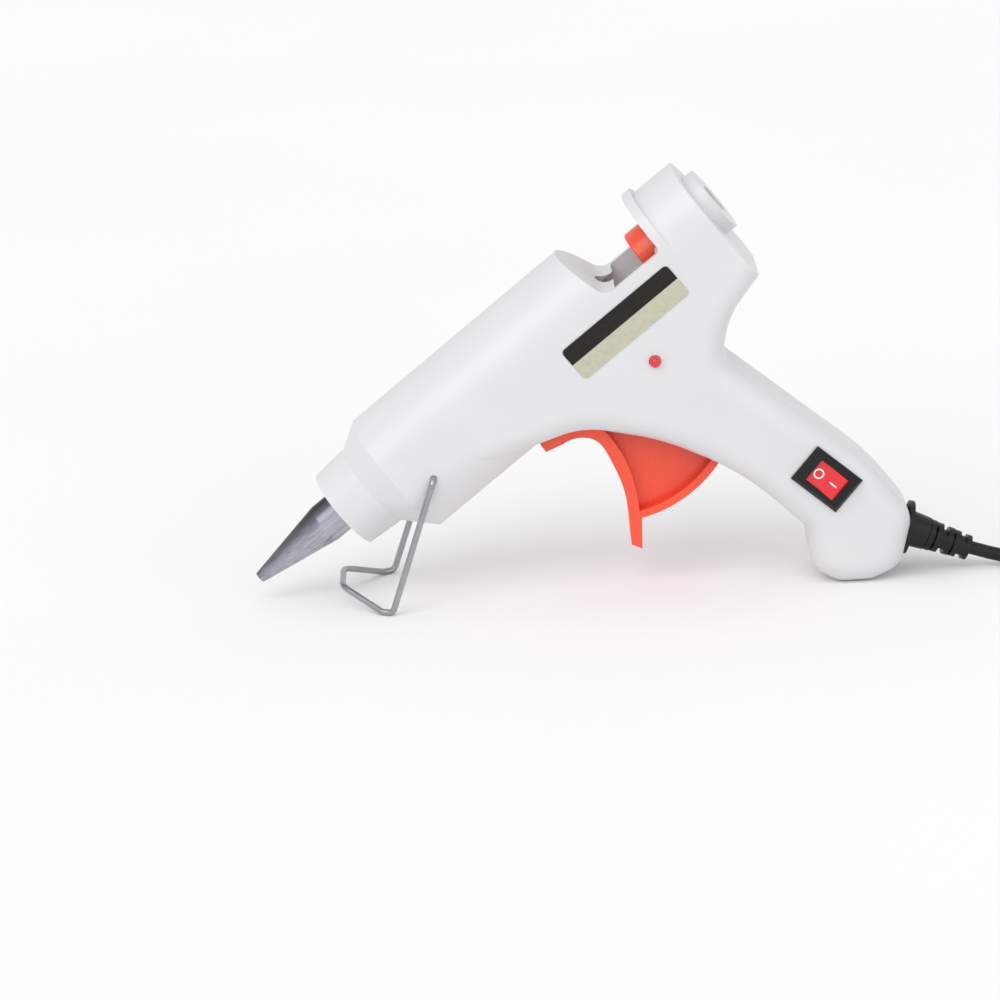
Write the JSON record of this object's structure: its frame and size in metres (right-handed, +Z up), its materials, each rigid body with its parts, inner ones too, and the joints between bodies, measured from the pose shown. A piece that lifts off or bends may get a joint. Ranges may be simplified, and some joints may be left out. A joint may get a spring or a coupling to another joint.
{
  "type": "glue gun",
  "caption": "Mini hot-melt glue gun with trigger feed, aluminium nozzle, folding wire stand, rocker switch and mains cord, resting on its stand.",
  "frame": {"origin": "on the surface it rests on, under the middle of the gun without its cord", "axes": "+X from the nozzle tip to the handle, +Y to the side away from the switch, +Z up"},
  "size_m": [0.318, 0.0525, 0.1106],
  "materials": {
    "housing": "satin moulded off-white plastic",
    "trigger_orange": "satin moulded orange-red plastic",
    "nozzle": "cast and scratched",
    "chamber": "as cast",
    "insulator": "matt heat-resisting",
    "silicone": "soft silicone",
    "ceramic": "matt ceramic",
    "terminal": "plain",
    "steel": "bright drawn",
    "switch_black": "semi-gloss black",
    "rocker_red": "gloss red",
    "mark_white": "white print",
    "lamp_red": "clear red",
    "label": "satin film, black above and beige-grey below",
    "cord_black": "matt black flexible plastic",
    "lead": "matt insulation"
  },
  "bodies": {
    "housing": {"left_housing": "housing", "right_housing": "housing", "label": "label", "nozzle": "nozzle", "nozzle_bush": "insulator", "melt_chamber": "chamber", "heater_element": "ceramic", "heater_plates": "terminal", "inlet_sleeve": "silicone", "sleeve_clamp": "steel", "trigger_pin": "steel", "return_spring": "steel", "switch_body": "switch_black", "switch_terminals": "terminal", "indicator_lamp": "lamp_red", "lamp_resistor": "ceramic", "housing_screws": "steel", "strain_relief": "cord_black", "cord_clamp": "housing", "live_lead": "lead", "switched_lead": "lead", "neutral_lead": "lead", "power_cord": "cord_black", "cord_coil": "cord_black", "cord_tie": "cord_black", "plug_lead": "cord_black", "plug_body": "cord_black", "plug_pins": "terminal"},
    "trigger": {"trigger": "trigger_orange"},
    "carrier": {"stick_carrier": "trigger_orange", "carrier_pin": "steel"},
    "rocker": {"switch_rocker": "rocker_red", "rocker_marks": "mark_white"},
    "stand": {"stand_wire": "steel"}
  },
  "joints": [
    {"name": "trigger_pull", "type": "hinge", "parent": "housing", "child": "trigger", "pos_m": [-0.00076, 0, 0.05272], "axis": [0, -1, 0], "range_deg": [0, 20], "stiffness_Nm_per_rad": 0.25, "springref_deg": -5.73},
    {"name": "carrier_slide", "type": "slide", "parent": "housing", "child": "carrier", "axis": [-0.788, 0, -0.6157], "range_m": [0, 0.0038], "deforming": ["return_spring"]},
    {"name": "rocker_tilt", "type": "hinge", "parent": "housing", "child": "rocker", "pos_m": [0.05473, -0.01111, 0.02945], "axis": [0.6562, -0.0086, 0.7546], "range_deg": [0, 16]},
    {"name": "stand_fold", "type": "hinge", "parent": "housing", "child": "stand", "pos_m": [-0.04588, 0, 0.03511], "axis": [0, -1, 0], "range_deg": [0, 120]}
  ],
  "couplings": [
    {"joint": "carrier_slide", "follows": "trigger_pull", "m_per_rad": 0.0105}
  ]
}
